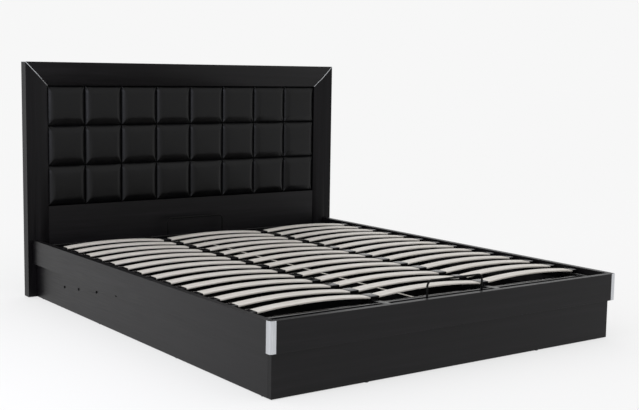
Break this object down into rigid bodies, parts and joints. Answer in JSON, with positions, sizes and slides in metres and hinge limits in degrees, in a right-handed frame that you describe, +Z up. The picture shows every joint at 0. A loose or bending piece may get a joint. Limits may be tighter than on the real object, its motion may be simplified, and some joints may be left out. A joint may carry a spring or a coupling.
{
  "type": "lift-up storage bed",
  "caption": "Double bed with a padded headboard, board rails on a plinth box, and a slatted steel frame that swings up on gas springs.",
  "frame": {"origin": "on the floor under the middle of the whole bed", "axes": "+X to the right seen from the foot, -Y towards the foot, +Z up"},
  "size_m": [1.766, 2.097, 1.114],
  "materials": {
    "wenge_foil": "satin dark wood-grain foil on board",
    "aluminium": "brushed and anodised",
    "black_lining": "board covered with black felt",
    "leatherette": "soft satin black leatherette",
    "black_wood": "softwood battens stained black",
    "rubber": "matt rubber",
    "white_board": "pale melamine-faced board",
    "zinc_steel": "zinc plated",
    "black_steel": "semi-gloss black powder coat",
    "chrome_rod": "hard-chromed rod",
    "birch_slat": "pale foil-faced bent birch plywood",
    "black_plastic": "glossy moulded plastic"
  },
  "bodies": {
    "base": {"headboard_top_rail": "wenge_foil", "headboard_left_stile": "wenge_foil", "headboard_right_stile": "wenge_foil", "mitre_inlays": "aluminium", "headboard_back_panel": "wenge_foil", "headboard_pad_board": "black_lining", "headboard_lower_panel": "wenge_foil", "pads_top_row": "leatherette", "pads_middle_row": "leatherette", "pads_bottom_row": "leatherette", "side_rail_left": "wenge_foil", "side_rail_right": "wenge_foil", "foot_rail": "wenge_foil", "corner_cap_left": "aluminium", "corner_cap_right": "aluminium", "corner_posts": "wenge_foil", "plinth_side_left": "wenge_foil", "plinth_side_right": "wenge_foil", "plinth_foot": "wenge_foil", "plinth_head": "wenge_foil", "side_batten_left": "black_wood", "side_batten_right": "black_wood", "foot_batten": "black_wood", "stop_pads": "rubber", "floor_battens": "black_wood", "centre_divider": "white_board", "storage_floor_head": "black_lining", "storage_floor_foot": "black_lining", "plinth_angles": "zinc_steel", "glides": "rubber", "headboard_bolts": "zinc_steel", "barrel_nuts": "zinc_steel", "plinth_bolts": "black_steel", "lift_plate_left": "black_steel", "lift_plate_right": "black_steel"},
    "rear_arms": {"rear_arm_left": "black_steel", "rear_arm_right": "black_steel"},
    "front_arms": {"front_arm_left": "black_steel", "front_arm_right": "black_steel"},
    "gas_cylinders": {"gas_cylinder_left": "black_steel", "gas_cylinder_right": "black_steel"},
    "gas_rods": {"gas_rod_left": "chrome_rod", "gas_rod_right": "chrome_rod"},
    "slatted_frame": {"frame_side_tube_left": "black_steel", "frame_side_tube_right": "black_steel", "frame_foot_tube": "black_steel", "frame_head_tube": "black_steel", "inner_tube_left": "black_steel", "inner_tube_right": "black_steel", "cross_tubes": "black_steel", "lift_brackets": "black_steel", "slats_left": "birch_slat", "slats_middle": "birch_slat", "slats_right": "birch_slat", "double_holders": "black_plastic", "end_holders": "black_plastic", "foot_bail": "black_steel", "head_bail": "black_steel"}
  },
  "joints": [
    {"name": "lift", "type": "hinge", "parent": "base", "child": "rear_arms", "pos_m": [0, 0.3065, 0.105], "axis": [1, 0, 0], "range_deg": [0, 38.9]},
    {"name": "frame_tilt", "type": "hinge", "parent": "rear_arms", "child": "slatted_frame", "pos_m": [0, 0.9145, 0.21], "axis": [-1, 0, 0], "range_deg": [0, 73.92]},
    {"name": "front_arm_turn", "type": "hinge", "parent": "base", "child": "front_arms", "pos_m": [0, 0.1365, 0.09], "axis": [1, 0, 0], "range_deg": [0, 35.32]},
    {"name": "gas_spring_turn", "type": "hinge", "parent": "base", "child": "gas_cylinders", "pos_m": [0, 0.5765, 0.118], "axis": [1, 0, 0], "range_deg": [-0.032, 0]},
    {"name": "gas_spring_stroke", "type": "slide", "parent": "gas_cylinders", "child": "gas_rods", "axis": [0, -0.9907, 0.136], "range_m": [0, 0.0559]}
  ],
  "couplings": [
    {"joint": "frame_tilt", "follows": "lift", "ratio": 1.9},
    {"joint": "front_arm_turn", "follows": "lift", "ratio": 0.90766},
    {"joint": "gas_spring_turn", "follows": "lift", "ratio": -0.00056},
    {"joint": "gas_spring_stroke", "follows": "lift", "m_per_rad": 0.082189}
  ]
}
